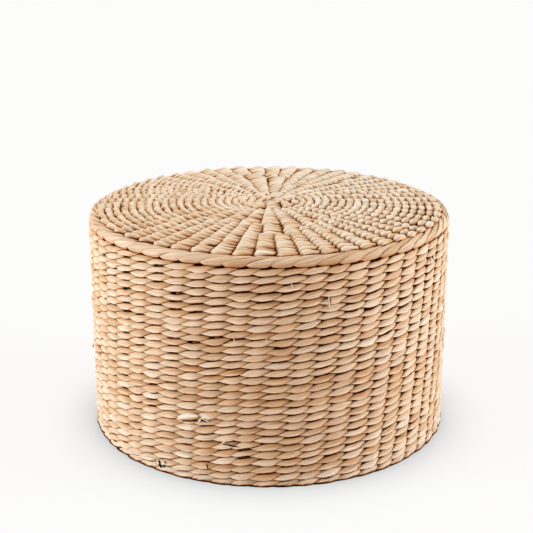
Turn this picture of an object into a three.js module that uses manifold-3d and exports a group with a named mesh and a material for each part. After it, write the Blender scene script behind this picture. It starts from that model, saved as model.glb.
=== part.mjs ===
// Round woven reed stool (mudda): a low drum of twined reed over upright stakes,
// stretched round a welded rod frame with a plywood board under the seat.
// Millimetres, +Z up, origin at the middle of the underside, front towards -Y.
import * as THREE from "three";
import { mergeVertices } from "three/addons/utils/BufferGeometryUtils.js";
import Module from "manifold-3d";

const wasm = await Module();
wasm.setup();

// Driving dimensions of the drum
const drumDiameter = 420;
const drumHeight = 258;
const seatCrown = 5;

// Weave: the wall, seat and base are one thickness of weft round the stakes
const weaveThickness = 12;
const rowRelief = 2;
const sideRowPitch = 8.4;
const seatRowPitch = 9.4;
const baseRowPitch = 24;
const seatButtonRadius = 16;
const baseButtonRadius = 30;
const rimRopeDiameter = 13;
const footRopeDiameter = 10;
const footFlatDepth = 0.5;

// Stakes: flattened reeds that the weft is twined round
const stakePitch = 24.4;
const stakeWidth = 6.5;
const stakeThickness = 4;
const stakeBendRadius = 6;
const crossingRadius = 68;
const stakeTuckRadius = 74;

// Frame: round rod bent into rings, and straight rods welded between them
const rodDiameter = 6;
const uprightCount = 8;
const spokeCount = 8;
const hubDiameter = 50;
const hubBore = 34;
const boardThickness = 6;
const middleRingHeight = 126;

// Clearance between pieces that touch
const fit = 0.3;

// How finely round shapes are cut
const wallFacets = 32;
const ringFacets = 24;
const hubFacets = 16;
const rodSides = 8;
const ropeArcSteps = 8;
const grooveArcSteps = 2;
const stakeBendSteps = 1;

// Angles
const fullTurn = 2 * Math.PI;
const halfTurn = Math.PI;
const quarterTurn = Math.PI / 2;

// Worked out from the sizes above
const drumRadius = drumDiameter / 2;
const rimRopeRadius = rimRopeDiameter / 2;
const footRopeRadius = footRopeDiameter / 2;
const rodRadius = rodDiameter / 2;
const wallFacetShare = Math.cos(halfTurn / wallFacets);
const ringFacetShare = Math.cos(halfTurn / ringFacets);
const stakeCount = Math.round(halfTurn * drumDiameter / stakePitch);
const stakeDepth = weaveThickness / 2;
const stakeHalf = stakeThickness / 2;

const rimRope = { radius: rimRopeRadius, r: drumRadius - rimRopeRadius, z: drumHeight - rimRopeRadius };
const footRope = { radius: footRopeRadius, r: drumRadius - footRopeRadius, z: footRopeRadius - footFlatDepth };

const innerRadius = drumRadius - weaveThickness;
const seatEdge = Math.min(rimRope.r - rimRope.radius, innerRadius) - fit;
const baseEdge = Math.min(footRope.r - footRope.radius, innerRadius) - fit;
const sideTop = Math.min(rimRope.z - rimRope.radius, drumHeight - weaveThickness) - fit;
const sideBottom = footRope.z + footRope.radius + fit;
const seatUnderside = drumHeight - weaveThickness;

// The stakes' middle line, and the middles of its two bends
const stakeSeatHeight = drumHeight - stakeDepth;
const stakeWallRadius = (drumRadius - stakeDepth) * wallFacetShare;
const bendAtRim = { r: stakeWallRadius - stakeBendRadius, z: stakeSeatHeight - stakeBendRadius };
const bendAtFoot = { r: stakeWallRadius - stakeBendRadius, z: stakeDepth + stakeBendRadius };

// The frame's levels, from the woven seat down and from the woven base up
const boardTop = seatUnderside - fit;
const topRingHeight = boardTop - boardThickness - fit - rodRadius;
const baseRingHeight = weaveThickness + fit + rodRadius;
const ringRadius = innerRadius * wallFacetShare - fit - rodRadius;
const uprightBottom = baseRingHeight + rodRadius + fit;
const uprightTop = topRingHeight - rodRadius - fit;
const middleRingRadius = ringRadius - (rodDiameter + fit) / ringFacetShare;
const boardRadius = innerRadius * wallFacetShare - fit;

// Finishes
function finish(color, roughness, metalness = 0) {
  return new THREE.MeshStandardMaterial({ color, roughness, metalness, flatShading: true });
}
const driedReed = finish(0xdcbd92, 0.72);
const borderReed = finish(0xd3b384, 0.7);
const stakeReed = finish(0xc4a272, 0.78);
const paintedRod = finish(0x2d2b29, 0.5, 0.1);
const plywood = finish(0xc8a87a, 0.65);

// A closed mesh as a solid: shared corners are merged and empty triangles left out
function solidOf(geometry) {
  geometry.deleteAttribute("uv");
  geometry.deleteAttribute("normal");
  const merged = mergeVertices(geometry);
  const corners = merged.index.array;
  const kept = [];
  for (let i = 0; i < corners.length; i += 3) {
    const [a, b, c] = corners.slice(i, i + 3);
    if (a !== b && b !== c && c !== a) {
      kept.push(a, b, c);
    }
  }
  const vertProperties = new Float32Array(merged.attributes.position.array);
  return new wasm.Manifold(new wasm.Mesh({ numProp: 3, vertProperties, triVerts: new Uint32Array(kept) }));
}

// A solid back as a three.js geometry
function geometryOf(solid) {
  const mesh = solid.getMesh();
  const geometry = new THREE.BufferGeometry();
  geometry.setAttribute("position", new THREE.BufferAttribute(mesh.vertProperties, 3));
  geometry.setIndex(new THREE.BufferAttribute(mesh.triVerts, 1));
  geometry.computeVertexNormals();
  return geometry;
}

// A profile of radius and height turned round the drum's axis, outer side upwards.
// phase turns the facets, so that a flat one can face a spoke.
function turned(profile, facets, phase = 0) {
  const geometry = new THREE.LatheGeometry(profile, facets, phase);
  geometry.rotateX(quarterTurn);
  return solidOf(geometry);
}

function named(name, geometry, material) {
  const mesh = new THREE.Mesh(geometry, material);
  mesh.name = name;
  return mesh;
}

// Points along a run of weft rows: every row rises from its root to its crest and falls back.
// place takes the share of the run and the share of the relief.
function rowPoints(rows, place) {
  const points = [place(0, 0)];
  for (let row = 0; row < rows; row += 1) {
    points.push(place((row + 1 / 2) / rows, 1));
    points.push(place((row + 1) / rows, 0));
  }
  return points;
}

function rowsIn(length, pitch) {
  return Math.max(1, Math.round(length / pitch));
}

// One stake seen from the side: out under the seat, down inside the wall and in above the floor
function stakeOutline(growth) {
  const half = stakeHalf + growth;
  const outer = stakeBendRadius + half;
  const inner = stakeBendRadius - half;
  const tuckEnd = stakeTuckRadius - growth;
  const crossingEnd = crossingRadius - stakeWidth;
  const outline = new THREE.Shape();
  outline.moveTo(crossingEnd, stakeSeatHeight - half);
  outline.lineTo(crossingEnd, stakeSeatHeight + half);
  outline.absarc(bendAtRim.r, bendAtRim.z, outer, quarterTurn, 0, true);
  outline.absarc(bendAtFoot.r, bendAtFoot.z, outer, 0, -quarterTurn, true);
  outline.lineTo(tuckEnd, stakeDepth - half);
  outline.lineTo(tuckEnd, stakeDepth + half);
  outline.absarc(bendAtFoot.r, bendAtFoot.z, inner, -quarterTurn, 0, false);
  outline.absarc(bendAtRim.r, bendAtRim.z, inner, 0, quarterTurn, false);
  outline.closePath();
  return outline;
}

// Every stake and the flat crossing that joins them in the middle of the seat.
// A growth makes the room that the weft leaves for them.
function stakeCage(growth) {
  const width = stakeWidth + 2 * growth;
  const blank = new THREE.ExtrudeGeometry(stakeOutline(growth), {
    depth: width, steps: 1, bevelEnabled: false, curveSegments: stakeBendSteps,
  });
  blank.translate(0, 0, -width / 2);
  blank.rotateX(quarterTurn);
  const stake = solidOf(blank);
  const half = stakeHalf + growth;
  const reach = crossingRadius + growth;
  let cage = turned([
    new THREE.Vector2(0, stakeSeatHeight - half),
    new THREE.Vector2(reach, stakeSeatHeight - half),
    new THREE.Vector2(reach, stakeSeatHeight + half),
    new THREE.Vector2(0, stakeSeatHeight + half),
  ], wallFacets);
  for (let i = 0; i < stakeCount; i += 1) {
    const degrees = THREE.MathUtils.radToDeg(fullTurn * i / stakeCount);
    cage = cage.add(stake.rotate([0, 0, degrees]));
  }
  return cage;
}

// Height of the crowned seat: it thickens towards the middle, where the stakes cross
function seatHeight(radius) {
  return drumHeight + seatCrown * (1 - (radius / seatEdge) ** 2);
}

// Seat weave: a crowned disc with rounds of weft on top and a flat middle where they start
function seatWeave() {
  const rows = rowsIn(seatEdge - seatButtonRadius, seatRowPitch);
  const rounds = rowPoints(rows, (share, relief) => {
    const radius = THREE.MathUtils.lerp(seatEdge, seatButtonRadius, share);
    return new THREE.Vector2(radius, seatHeight(radius) - rowRelief * (1 - relief));
  });
  return turned([
    new THREE.Vector2(0, seatUnderside),
    new THREE.Vector2(seatEdge, seatUnderside),
    ...rounds,
    new THREE.Vector2(seatButtonRadius - rowRelief, seatHeight(0)),
    new THREE.Vector2(0, seatHeight(0)),
  ], wallFacets);
}

// Side weave: a tube with one ridge for each row of weft
function sideWeave() {
  const rows = rowsIn(sideTop - sideBottom, sideRowPitch);
  const ridges = rowPoints(rows, (share, relief) => new THREE.Vector2(
    drumRadius - rowRelief * (1 - relief),
    THREE.MathUtils.lerp(sideBottom, sideTop, share),
  ));
  return turned([
    new THREE.Vector2(innerRadius, sideBottom),
    ...ridges,
    new THREE.Vector2(innerRadius, sideTop),
    new THREE.Vector2(innerRadius, sideBottom),
  ], wallFacets);
}

// Base weave: a disc like the seat, with wider rounds underneath and a flat middle on the floor
function baseWeave() {
  const rows = rowsIn(baseEdge - baseButtonRadius, baseRowPitch);
  const rounds = rowPoints(rows, (share, relief) => new THREE.Vector2(
    THREE.MathUtils.lerp(baseButtonRadius, baseEdge, share),
    rowRelief * (1 - relief) / 2,
  ));
  return turned([
    new THREE.Vector2(0, 0),
    new THREE.Vector2(baseButtonRadius - rowRelief, 0),
    ...rounds,
    new THREE.Vector2(baseEdge, weaveThickness),
    new THREE.Vector2(0, weaveThickness),
  ], wallFacets);
}

// A border rope: round outside, and hollowed inside where it lies on the bend of the stakes
function borderRope(rope, bend) {
  const seat = stakeBendRadius + stakeHalf + fit;
  const bendRadius = bend.r / wallFacetShare;
  const apart = Math.hypot(rope.r - bendRadius, rope.z - bend.z);
  const toBend = Math.atan2(bend.z - rope.z, bendRadius - rope.r);
  const cosine = (apart ** 2 + rope.radius ** 2 - seat ** 2) / (2 * apart * rope.radius);
  const opening = Math.acos(THREE.MathUtils.clamp(cosine, -1, 1));
  const points = [];
  for (let step = 0; step <= ropeArcSteps; step += 1) {
    const angle = toBend + opening + (fullTurn - 2 * opening) * step / ropeArcSteps;
    points.push(new THREE.Vector2(
      rope.r + rope.radius * Math.cos(angle),
      Math.max(0, rope.z + rope.radius * Math.sin(angle)),
    ));
  }
  const first = points[0];
  const last = points[points.length - 1];
  const fromAngle = Math.atan2(last.y - bend.z, last.x - bendRadius);
  const toAngle = Math.atan2(first.y - bend.z, first.x - bendRadius);
  for (let step = 1; step < grooveArcSteps; step += 1) {
    const angle = THREE.MathUtils.lerp(fromAngle, toAngle, step / grooveArcSteps);
    points.push(new THREE.Vector2(bendRadius + seat * Math.cos(angle), bend.z + seat * Math.sin(angle)));
  }
  points.push(first.clone());
  return turned(points, wallFacets);
}

// A ring of round rod about the axis, with its middle at height zero
function rodRing(radius) {
  const profile = [];
  for (let side = 0; side <= rodSides; side += 1) {
    const angle = fullTurn * (side + 1 / 2) / rodSides;
    const reach = rodRadius / Math.cos(halfTurn / rodSides);
    profile.push(new THREE.Vector2(radius + reach * Math.cos(angle), reach * Math.sin(angle)));
  }
  return geometryOf(turned(profile, ringFacets, halfTurn / ringFacets));
}

// A short piece of tube that the spokes are welded round
function hubRing() {
  const outer = hubDiameter / 2;
  const bore = hubBore / 2;
  return geometryOf(turned([
    new THREE.Vector2(bore, -rodRadius),
    new THREE.Vector2(outer, -rodRadius),
    new THREE.Vector2(outer, rodRadius),
    new THREE.Vector2(bore, rodRadius),
    new THREE.Vector2(bore, -rodRadius),
  ], hubFacets, halfTurn / hubFacets));
}

// One wheel of the frame: a ring, its hub and the spokes between them
function frameWheel(prefix, height) {
  const wheel = new THREE.Group();
  wheel.position.z = height;
  wheel.add(named(`${prefix}_ring`, rodRing(ringRadius), paintedRod));
  wheel.add(named(`${prefix}_hub`, hubRing(), paintedRod));
  const start = hubDiameter / 2 + fit;
  const end = (ringRadius - rodRadius) * ringFacetShare - fit;
  for (let i = 0; i < spokeCount; i += 1) {
    const arm = new THREE.Group();
    arm.rotation.z = fullTurn * i / spokeCount;
    const spoke = named(
      `${prefix}_spoke_${i + 1}`,
      new THREE.CylinderGeometry(rodRadius, rodRadius, end - start, rodSides),
      paintedRod,
    );
    spoke.rotation.z = quarterTurn;
    spoke.position.x = (start + end) / 2;
    arm.add(spoke);
    wheel.add(arm);
  }
  return wheel;
}

// The uprights stand between the two rings, with the middle ring welded inside them
function frameUprights() {
  const stand = new THREE.Group();
  for (let i = 0; i < uprightCount; i += 1) {
    const arm = new THREE.Group();
    arm.rotation.z = fullTurn * i / uprightCount;
    const upright = named(
      `frame_upright_${i + 1}`,
      new THREE.CylinderGeometry(rodRadius, rodRadius, uprightTop - uprightBottom, rodSides),
      paintedRod,
    );
    upright.rotation.x = quarterTurn;
    upright.position.set(ringRadius * ringFacetShare, 0, (uprightTop + uprightBottom) / 2);
    arm.add(upright);
    stand.add(arm);
  }
  const middle = named("frame_middle_ring", rodRing(middleRingRadius), paintedRod);
  middle.position.z = middleRingHeight;
  stand.add(middle);
  return stand;
}

// The board lies on the top ring and carries the woven seat
function seatBoard() {
  const board = named(
    "seat_board",
    new THREE.CylinderGeometry(boardRadius, boardRadius, boardThickness, wallFacets),
    plywood,
  );
  board.rotation.x = quarterTurn;
  board.position.z = boardTop - boardThickness / 2;
  return board;
}

// Assembly
const room = stakeCage(fit);
const stool = new THREE.Group();
stool.add(named("seat_weave", geometryOf(seatWeave().subtract(room)), driedReed));
stool.add(named("side_weave", geometryOf(sideWeave().subtract(room)), driedReed));
stool.add(named("base_weave", geometryOf(baseWeave().subtract(room)), driedReed));
stool.add(named("stakes", geometryOf(stakeCage(0)), stakeReed));
stool.add(named("rim_border", geometryOf(borderRope(rimRope, bendAtRim)), borderReed));
stool.add(named("foot_border", geometryOf(borderRope(footRope, bendAtFoot)), borderReed));
stool.add(seatBoard());
stool.add(frameWheel("seat_frame", topRingHeight));
stool.add(frameUprights());
stool.add(frameWheel("base_frame", baseRingHeight));

export default stool;
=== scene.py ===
"""Looks of a round stool of twined dried reed, built around its packed construction model.

The drum's skin is two-strand twined weft over upright stakes: rounds on the crowned seat, rows
down the wall and rounds under the base, with a three-strand border laid along the rim and one
pressed row at the foot. Lengths are in metres. An angle of 0 about the drum's axis faces the
camera (-Y), and angles grow to the camera's right.
"""

import logging
import math
from dataclasses import dataclass, field, replace
from enum import Enum

import bpy
import numpy as np
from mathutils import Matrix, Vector


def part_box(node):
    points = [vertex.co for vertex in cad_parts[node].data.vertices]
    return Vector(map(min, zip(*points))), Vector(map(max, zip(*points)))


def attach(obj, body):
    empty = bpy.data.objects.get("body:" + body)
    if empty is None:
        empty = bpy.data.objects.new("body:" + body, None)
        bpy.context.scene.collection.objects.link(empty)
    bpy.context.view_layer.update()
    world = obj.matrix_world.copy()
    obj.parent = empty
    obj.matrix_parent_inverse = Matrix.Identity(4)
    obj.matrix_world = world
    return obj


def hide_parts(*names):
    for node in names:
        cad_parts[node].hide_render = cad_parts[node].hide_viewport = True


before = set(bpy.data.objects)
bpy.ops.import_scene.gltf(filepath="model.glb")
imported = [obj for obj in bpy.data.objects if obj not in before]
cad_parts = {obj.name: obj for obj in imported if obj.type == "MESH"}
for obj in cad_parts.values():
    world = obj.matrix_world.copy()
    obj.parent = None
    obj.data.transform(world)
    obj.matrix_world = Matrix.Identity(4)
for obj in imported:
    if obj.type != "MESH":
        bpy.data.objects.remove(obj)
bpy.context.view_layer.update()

LOG = logging.getLogger("stool")
MM = 0.001
FULL_TURN = 2 * math.pi
HALF_TURN = math.pi

Array = np.ndarray
Tree = bpy.types.NodeTree
Node = bpy.types.Node
Socket = bpy.types.NodeSocket
Stops = tuple[tuple[float, str], ...]
Shares = tuple[float, ...]


# Nodes

def linear(hex_colour: str) -> tuple[float, float, float, float]:
    """Turns an sRGB hex colour to the linear values that Blender works in.

    Args:
        hex_colour: six hex digits, such as "c8a87a".

    Returns:
        Red, green, blue and an alpha of 1.
    """
    shares = [int(hex_colour[i:i + 2], 16) / 255 for i in (0, 2, 4)]
    values = [s / 12.92 if s <= 0.04045 else ((s + 0.055) / 1.055) ** 2.4 for s in shares]
    return (*values, 1.0)


def add_node(tree: Tree, kind: str, inputs: dict | None = None, stops: Stops = (),
             **settings) -> Node:
    """Adds one node with its settings, its socket values and its links.

    Args:
        tree: the node tree of a material or world.
        kind: the node's type without its first words, such as "Math".
        inputs: for each input, by name or number, a value, an output socket, or a node whose
            first output is linked.
        stops: place and sRGB hex colour of each stop of a colour ramp, in rising order.
        settings: attributes of the node.

    Returns:
        The new node.
    """
    node = tree.nodes.new("ShaderNode" + kind)
    for name, value in settings.items():
        setattr(node, name, value)
    for name, value in (inputs or {}).items():
        source = value.outputs[0] if isinstance(value, Node) else value
        if isinstance(source, Socket):
            tree.links.new(source, node.inputs[name])
        else:
            node.inputs[name].default_value = source
    if stops:
        elements = node.color_ramp.elements
        while len(elements) < len(stops):
            elements.new(1.0)
        for element, (place, colour) in zip(elements, stops):
            element.position = place
            element.color = linear(colour)
    return node


def seen_directly(tree: Tree) -> Node:
    """Adds a factor of 1 for what the eye meets, also by gloss or glass, and 0 for light.

    Args:
        tree: the node tree of a material or world.

    Returns:
        The node that gives the factor.
    """
    path = add_node(tree, "LightPath").outputs
    seen = add_node(tree, "Math", {0: path["Is Camera Ray"], 1: path["Is Glossy Ray"]},
                    operation="MAXIMUM")
    return add_node(tree, "Math", {0: seen, 1: path["Is Transmission Ray"]}, operation="MAXIMUM")


def new_material(name: str) -> bpy.types.Material:
    """Makes a material with an empty node tree.

    Args:
        name: its name.

    Returns:
        The material.
    """
    material = bpy.data.materials.new(name)
    material.use_nodes = True
    material.node_tree.nodes.clear()
    return material


def end_material(tree: Tree, height: Node, strength: float, relief: float,
                 inputs: dict) -> None:
    """Adds a material's bump, its shader and its output.

    Args:
        tree: the material's node tree.
        height: what the bump reads.
        strength: the bump's strength.
        relief: the bump's height.
        inputs: the shader's other inputs.
    """
    bump = add_node(tree, "Bump", {"Height": height, "Strength": strength, "Distance": relief})
    shader = add_node(tree, "BsdfPrincipled", {**inputs, "Normal": bump})
    add_node(tree, "OutputMaterial", {"Surface": shader})


# Finishes

WEFT_TONES = ((0.0, "ad7a4a"), (0.25, "d2aa7e"), (0.5, "e8ceac"), (0.75, "f0dec5"),
              (1.0, "faefdf"))
BORDER_TONES = ((0.0, "ab8059"), (0.3, "d3b48f"), (0.6, "e6cfb3"), (1.0, "f8ecda"))
# Painted shade, from none to near black, for reed that lies deep in the weave, tucked or under the
# rim
PAINTED_SHADE_TONES = ((0.0, "ffffff"), (0.2, "f9e3ca"), (0.5, "b2703d"), (0.74, "381808"),
                (1.0, "100402"))
STAKE_TONES = ((0.0, "6e4a2c"), (0.5, "94693f"), (1.0, "b38a5c"))


@dataclass(frozen=True)
class Streaks:
    """Noise drawn out along a strand.

    Attributes:
        length: how long a streak is.
        spacing: how far apart the streaks are on a strand of full width.
        detail: how many finer layers the noise has.
        half_width: half of a strand's full width.
        fineness: how strong each finer layer is, as a share of the one before.
    """

    length: float
    spacing: float
    detail: float = 3.0
    half_width: float = 4.5 * MM
    fineness: float = 0.6

    def add_to(self, tree: Tree, coords: Socket) -> Node:
        """Adds the noise to a material.

        Args:
            tree: the material's node tree.
            coords: metres along the strand, share across it and the strand's number.

        Returns:
            The node that gives a factor from 0 to 1.
        """
        factors = (1 / self.length, self.half_width / self.spacing, 1.0)
        scaled = add_node(tree, "VectorMath", {0: coords, 1: factors}, operation="MULTIPLY")
        return add_node(tree, "TexNoise", {"Vector": scaled, "Scale": 1.0, "Detail": self.detail,
                                           "Roughness": self.fineness})


@dataclass(frozen=True)
class ReedFinish:
    """Dried reed leaf, twisted by hand into a flat strand.

    It gives the eye a matt straw skin with lengthwise fibres and creases, tones that change from
    strand to strand, and painted shade, brown and then dark, in the recesses where the strands go
    in.

    Attributes:
        name: the material's name.
        tones: colours of the skin, from the darkest strands to the palest.
        warm: colour of the stains.
        fibres: real fibres lie 0.3 mm apart, too fine to show, so they are drawn coarser.
        fibre_range: the noise over which the fibres shade the skin.
        fibre_shade: the skin's brightness between the fibres and on them.
        creases: lengthwise creases of the twisted leaf.
        crease_range: the noise over which they change the roughness.
        crease_sway: how much they change the tone.
        mottle: patches of tone.
        mottle_sway: how much the patches change the tone.
        roughness: the least and the greatest.
        gloss: how strongly open skin mirrors.
        refraction: index of refraction of the skin.
        bump: strength of the fibres' and creases' bump.
        relief: its height.
    """

    name: str
    tones: Stops
    warm: str = "c98f58"
    fibres: Streaks = Streaks(24 * MM, 0.8 * MM)
    fibre_range: Shares = (0.36, 0.64)
    fibre_shade: Shares = (0.75, 1.09)
    creases: Streaks = Streaks(40 * MM, 2.4 * MM, 2.0)
    crease_range: Shares = (0.2, 0.8)
    crease_sway: float = 0.62
    mottle: Streaks = Streaks(18 * MM, 6 * MM)
    mottle_sway: float = 0.36
    roughness: Shares = (0.54, 0.74)
    gloss: float = 0.26
    refraction: float = 1.45
    bump: float = 0.7
    relief: float = 0.5 * MM

    def material(self) -> bpy.types.Material:
        """Builds the node material.

        Returns:
            The material.
        """
        material = new_material(self.name)
        tree = material.node_tree
        place, look = (add_node(tree, "Attribute", attribute_name=name).outputs["Vector"]
                       for name in ("strand_place", "strand_look"))
        tone, warmth, depth = add_node(tree, "SeparateXYZ", {0: look}).outputs
        fibres, creases, mottle = (streaks.add_to(tree, place)
                                   for streaks in (self.fibres, self.creases, self.mottle))

        # Tone of the strand, moved a little by its creases and mottling
        level = tone
        for noise, sway in ((creases, self.crease_sway), (mottle, self.mottle_sway)):
            level = add_node(tree, "Math", {0: noise, 1: sway, 2: level}, operation="MULTIPLY_ADD")
        middle = (self.crease_sway + self.mottle_sway) / 2
        level = add_node(tree, "Math", {0: level, 1: middle}, operation="SUBTRACT", use_clamp=True)
        toned = add_node(tree, "ValToRGB", {0: level}, self.tones)

        # Warm orange-brown stains on some strands
        stain = add_node(tree, "Math", {0: warmth, 1: mottle}, operation="MULTIPLY", use_clamp=True)
        stained = add_node(tree, "Mix", {0: stain, 6: toned, 7: linear(self.warm)},
                           data_type="RGBA").outputs[2]

        # Skin darker between its fibres, rougher in its creases, and without gloss where painted
        # shade darkens it
        shade, rough, gloss = (
            add_node(tree, "MapRange", dict(enumerate((source, *before, *after))))
            for source, before, after in ((fibres, self.fibre_range, self.fibre_shade),
                                          (creases, self.crease_range, self.roughness),
                                          (depth, (0.0, 1.0), (self.gloss, 0.0))))
        fibred = add_node(tree, "VectorMath", {0: stained, "Scale": shade}, operation="SCALE")

        # Painted shade: where a strand goes in behind a stake, or under the next row, it turns
        # brown, then dark
        painted_shade = add_node(tree, "ValToRGB", {0: depth}, PAINTED_SHADE_TONES)
        colour = add_node(tree, "Mix", {0: 1.0, 6: fibred, 7: painted_shade}, data_type="RGBA",
                          blend_type="MULTIPLY").outputs[2]

        height = add_node(tree, "Math", {0: fibres, 1: creases}, operation="ADD")
        end_material(tree, height, self.bump, self.relief, {
            "Base Color": colour, "IOR": self.refraction, "Roughness": rough,
            "Specular IOR Level": gloss})
        return material


@dataclass(frozen=True)
class PaintedRodFinish:
    """Mild steel rod, welded and dip painted: satin near-black with a faint orange peel."""

    name: str = "painted steel rod, dipped"
    tones: Stops = ((0.5, "2d2b29"), (0.72, "4a4642"))
    roughness: float = 0.42
    peel_size: float = 1.5 * MM
    peel_detail: float = 2.0
    wear_size: float = 30 * MM
    wear_detail: float = 4.0
    bump: float = 0.2
    relief: float = 0.05 * MM

    def material(self) -> bpy.types.Material:
        """Builds the node material.

        Returns:
            The material.
        """
        material = new_material(self.name)
        tree = material.node_tree
        place = add_node(tree, "TexCoord").outputs["Object"]
        peel, wear = (
            add_node(tree, "TexNoise", {"Vector": place, "Scale": 1 / size, "Detail": detail})
            for size, detail in ((self.peel_size, self.peel_detail),
                                 (self.wear_size, self.wear_detail)))
        end_material(tree, peel, self.bump, self.relief, {
            "Base Color": add_node(tree, "ValToRGB", {0: wear}, self.tones),
            "Roughness": self.roughness})
        return material


@dataclass(frozen=True)
class PlywoodFinish:
    """Poplar plywood, rotary cut and sanded: pale tan with long wavy grain."""

    name: str = "poplar plywood, sanded"
    tones: Stops = ((0.35, "c8a87a"), (0.65, "a98456"))
    roughness: float = 0.6
    grain_length: float = 54 * MM
    grain_spacing: float = 6 * MM
    grain_detail: float = 5.0
    waviness: float = 1.2
    bump: float = 0.2
    relief: float = 0.1 * MM

    def material(self) -> bpy.types.Material:
        """Builds the node material.

        Returns:
            The material.
        """
        material = new_material(self.name)
        tree = material.node_tree
        place = add_node(tree, "TexCoord").outputs["Object"]
        factors = (1 / self.grain_length, 1 / self.grain_spacing, 1 / self.grain_spacing)
        scaled = add_node(tree, "VectorMath", {0: place, 1: factors}, operation="MULTIPLY")
        grain = add_node(tree, "TexNoise", {"Vector": scaled, "Scale": 1.0,
                                            "Detail": self.grain_detail,
                                            "Distortion": self.waviness})
        end_material(tree, grain, self.bump, self.relief, {
            "Base Color": add_node(tree, "ValToRGB", {0: grain}, self.tones),
            "Roughness": self.roughness})
        return material


# Points, vectors and objects

def stacked(*values: Array | float) -> Array:
    """Brings values to one shape and stacks them along a new last axis."""
    return np.stack(np.broadcast_arrays(*values), axis=-1)


def about_axis(radius: Array | float, angle: Array, height: Array | float) -> Array:
    """Points, or vectors, of a radius, an angle and a height about the drum's axis."""
    return stacked(radius * np.sin(angle), -radius * np.cos(angle), height)


def unit(vectors: Array) -> Array:
    """Scales vectors to a length of 1."""
    return vectors / np.linalg.norm(vectors, axis=-1, keepdims=True)


def with_neighbours(own: Array, other: Array) -> Array:
    """Puts the other stretch's last ring, one stake back, before own and its next ring after."""
    return np.concatenate([np.roll(other[:, -1:], 1, axis=0), own,
                           np.roll(other[:, :1], -1, axis=0)], axis=1)


def link_object(name: str, data: bpy.types.ID) -> bpy.types.Object:
    """Makes an object and puts it in the scene.

    Args:
        name: its name.
        data: its mesh, light or camera.

    Returns:
        The object.
    """
    made = bpy.data.objects.new(name, data)
    bpy.context.scene.collection.objects.link(made)
    return made


def turn_towards(thing: bpy.types.Object, direction: Vector, axis: str) -> None:
    """Turns a camera or light so that its axis points in a direction."""
    thing.rotation_mode = "QUATERNION"
    thing.rotation_quaternion = direction.to_track_quat(axis, "Y")


@dataclass
class MeshBuffer:
    """Gathers strips of rings as quads, with what the reed material reads, for one piece.

    Attributes:
        points: arrays of points.
        places: for each point, metres along its strand, share across it and the strand's number.
        looks: for each point, its tone, warmth and depth in the weave, which the material paints as
            shade.
        quads: arrays of four point numbers.
        cells: for each quad, its strip and where it starts and ends along and round the strip.
    """

    points: list[Array] = field(default_factory=list)
    places: list[Array] = field(default_factory=list)
    looks: list[Array] = field(default_factory=list)
    quads: list[Array] = field(default_factory=list)
    cells: list[Array] = field(default_factory=list)
    point_count: int = 0
    strip_count: int = 0

    def add_points(self, points: Array, places: Array, looks: Array | tuple) -> Array:
        """Adds points in rings.

        Args:
            points: x, y and z, last, with the points of a ring before them.
            places: along, across and strand number of each.
            looks: tone, warmth and depth of each.

        Returns:
            The number of each ring's first point.
        """
        first = self.point_count
        for store, values in ((self.points, points), (self.places, places), (self.looks, looks)):
            store.append(np.broadcast_to(values, points.shape).reshape(-1, 3))
        self.point_count += len(self.points[-1])
        *rings, around, _ = points.shape
        return first + around * np.arange(math.prod(rings)).reshape(rings)

    def add_strips(self, rings: Array, around: int) -> None:
        """Joins rings of points with quads.

        Args:
            rings: for each strip, the number of each ring's first point.
            around: points in a ring.
        """
        strips, length = rings.shape
        side, step = np.arange(around), np.arange(length - 1)[:, None]
        strip = np.arange(strips)[:, None, None] + self.strip_count
        start, end = rings[:, :-1, None], rings[:, 1:, None]
        following = (side + 1) % around
        quads = stacked(start + side, end + side, end + following, start + following)
        cells = stacked(strip, step / (length - 1), (step + 1) / (length - 1),
                        side / around, (side + 1) / around)
        self.quads.append(quads.reshape(-1, 4))
        self.cells.append(cells.reshape(-1, 5))
        self.strip_count += strips

    def bake_map(self, margin: float = 0.06) -> Array:
        """Lays every strip out in its own cell of a square map.

        Args:
            margin: share of a cell left free on each side.

        Returns:
            The place of every corner of every quad.
        """
        cells = np.concatenate(self.cells)
        across = math.ceil(math.sqrt(self.strip_count))
        column, row = cells[:, 0] % across, cells[:, 0] // across
        room = 1 - 2 * margin
        left, right = (column + margin + room * cells[:, i] for i in (1, 2))
        low, high = (row + margin + room * cells[:, i] for i in (3, 4))
        corners = ((left, low), (right, low), (right, high), (left, high))
        return np.stack([stacked(*corner) for corner in corners], axis=1) / across

    def build(self, name: str, material: bpy.types.Material, node: str,
              slot: str) -> bpy.types.Object:
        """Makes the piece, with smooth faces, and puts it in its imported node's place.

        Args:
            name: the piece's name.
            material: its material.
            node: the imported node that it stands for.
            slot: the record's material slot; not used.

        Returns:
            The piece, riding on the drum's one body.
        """
        points = np.concatenate(self.points).astype(np.float32)
        quads = np.concatenate(self.quads).astype(np.int32)
        mesh = bpy.data.meshes.new(name)
        mesh.vertices.add(len(points))
        mesh.vertices.foreach_set("co", points.ravel())
        mesh.loops.add(quads.size)
        mesh.loops.foreach_set("vertex_index", quads.ravel())
        mesh.polygons.add(len(quads))
        corners = quads.shape[1]
        mesh.polygons.foreach_set("loop_start", np.arange(0, quads.size, corners, dtype=np.int32))
        mesh.update(calc_edges=True)
        for label, stores in (("strand_place", self.places), ("strand_look", self.looks)):
            attribute = mesh.attributes.new(label, "FLOAT_VECTOR", "POINT")
            attribute.data.foreach_set("vector", np.concatenate(stores).astype(np.float32).ravel())
        layer = mesh.uv_layers.new(name="OFBake")
        layer.data.foreach_set("uv", self.bake_map().astype(np.float32).ravel())
        mesh.shade_smooth()
        mesh.validate()
        mesh.materials.append(material)
        piece = link_object(name, mesh)
        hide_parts(node)
        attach(piece, "root")
        return piece


# Strands

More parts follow.
